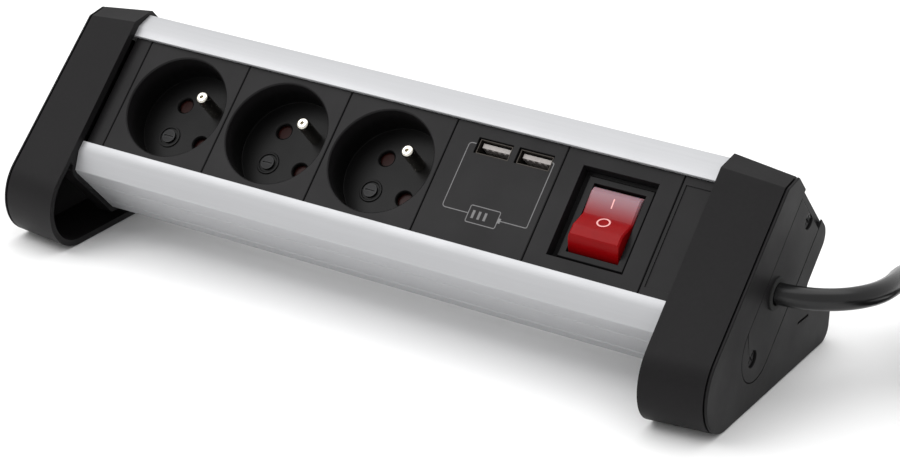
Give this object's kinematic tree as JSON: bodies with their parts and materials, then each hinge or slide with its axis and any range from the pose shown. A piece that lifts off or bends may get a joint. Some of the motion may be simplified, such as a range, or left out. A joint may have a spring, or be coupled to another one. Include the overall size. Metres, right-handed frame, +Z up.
{
  "type": "desk power strip",
  "caption": "Desk power strip: round mains sockets, a double charger module and a lit rocker switch in a leaning aluminium profile between wedge end caps, with cord, coil and plug.",
  "frame": {"origin": "on the desk, under the middle of the strip, between the four pads", "axes": "+X along the strip from the blank strip to the switch and the cord, -Y the front, the side the user faces, +Z up"},
  "size_m": [0.4515, 0.1701, 0.0806],
  "materials": {
    "anodised": "satin clear anodised",
    "cap_plastic": "fine satin texture",
    "face_plastic": "smooth satin",
    "pad_rubber": "matt",
    "screw_steel": "darkened",
    "pin_nickel": "bright nickel",
    "contact_brass": "plain",
    "spring_steel": "plain",
    "shutter_plastic": "smooth",
    "pale_insulator": "smooth",
    "board_laminate": "coated laminate",
    "winding_wrap": "wrapped tape",
    "capacitor_sleeve": "shrunk sleeve",
    "rocker_red": "translucent red",
    "lamp_glass": "clear",
    "core_brown": "smooth",
    "core_blue": "smooth",
    "core_green": "smooth",
    "cord_sheath": "satin sheath",
    "tie_plastic": "soft strap",
    "plug_plastic": "moulded satin"
  },
  "bodies": {
    "strip": {"aluminium_profile": "anodised", "left_cap_shell": "cap_plastic", "left_end_plate": "cap_plastic", "left_cover_strip": "cap_plastic", "left_cap_screws": "screw_steel", "right_cap_shell": "cap_plastic", "right_end_plate": "cap_plastic", "right_cover_strip": "cap_plastic", "right_cap_screws": "screw_steel", "foot_pads": "pad_rubber", "blank_strip": "face_plastic", "end_panel": "face_plastic", "socket_1_housing": "face_plastic", "socket_1_rear_cover": "face_plastic", "socket_1_earth_pin": "pin_nickel", "socket_1_sleeves": "contact_brass", "socket_2_housing": "face_plastic", "socket_2_rear_cover": "face_plastic", "socket_2_earth_pin": "pin_nickel", "socket_2_sleeves": "contact_brass", "socket_3_housing": "face_plastic", "socket_3_rear_cover": "face_plastic", "socket_3_earth_pin": "pin_nickel", "socket_3_sleeves": "contact_brass", "shutter_springs": "spring_steel", "socket_screws": "screw_steel", "clamp_screws": "screw_steel", "live_bar": "contact_brass", "neutral_bar": "contact_brass", "earth_bar": "contact_brass", "switch_terminals": "contact_brass", "usb_face": "face_plastic", "switch_frame": "face_plastic", "switch_body": "face_plastic", "usb_shell_1": "pin_nickel", "usb_shell_2": "pin_nickel", "usb_tongue_1": "pale_insulator", "usb_tongue_2": "pale_insulator", "cord_clamp": "pale_insulator", "usb_board": "board_laminate", "usb_transformer": "winding_wrap", "usb_capacitors": "capacitor_sleeve", "core_live": "core_brown", "core_neutral": "core_blue", "core_earth": "core_green", "mains_cord": "cord_sheath", "cord_coil": "cord_sheath", "cord_tail": "cord_sheath", "cord_bush": "pad_rubber", "coil_tie": "tie_plastic", "plug_relief": "plug_plastic", "plug_body": "plug_plastic", "plug_pins": "pin_nickel"},
    "rocker_group": {"rocker": "rocker_red", "rocker_plunger": "spring_steel", "neon_lamp": "lamp_glass"},
    "contact_lever": {"contact_levers": "contact_brass"},
    "shutter_1": {"socket_1_shutter": "shutter_plastic"},
    "shutter_2": {"socket_2_shutter": "shutter_plastic"},
    "shutter_3": {"socket_3_shutter": "shutter_plastic"}
  },
  "joints": [
    {"name": "rocker_hinge", "type": "hinge", "parent": "strip", "child": "rocker_group", "pos_m": [0.08725, -0.00835, 0.04905], "axis": [1, 0, 0], "range_deg": [0, 28]},
    {"name": "contact_lever_hinge", "type": "hinge", "parent": "strip", "child": "contact_lever", "pos_m": [0.08725, 0.00162, 0.03908], "axis": [1, 0, 0], "range_deg": [-16.1, 0]},
    {"name": "shutter_1_hinge", "type": "hinge", "parent": "strip", "child": "shutter_1", "pos_m": [-0.09275, -0.00311, 0.04381], "axis": [0, -0.7071, 0.7071], "range_deg": [0, 38], "stiffness_Nm_per_rad": 0.002},
    {"name": "shutter_2_hinge", "type": "hinge", "parent": "strip", "child": "shutter_2", "pos_m": [-0.04775, -0.00311, 0.04381], "axis": [0, -0.7071, 0.7071], "range_deg": [0, 38], "stiffness_Nm_per_rad": 0.002},
    {"name": "shutter_3_hinge", "type": "hinge", "parent": "strip", "child": "shutter_3", "pos_m": [-0.00275, -0.00311, 0.04381], "axis": [0, -0.7071, 0.7071], "range_deg": [0, 38], "stiffness_Nm_per_rad": 0.002}
  ],
  "couplings": [
    {"joint": "contact_lever_hinge", "follows": "rocker_hinge", "ratio": -0.5714}
  ]
}
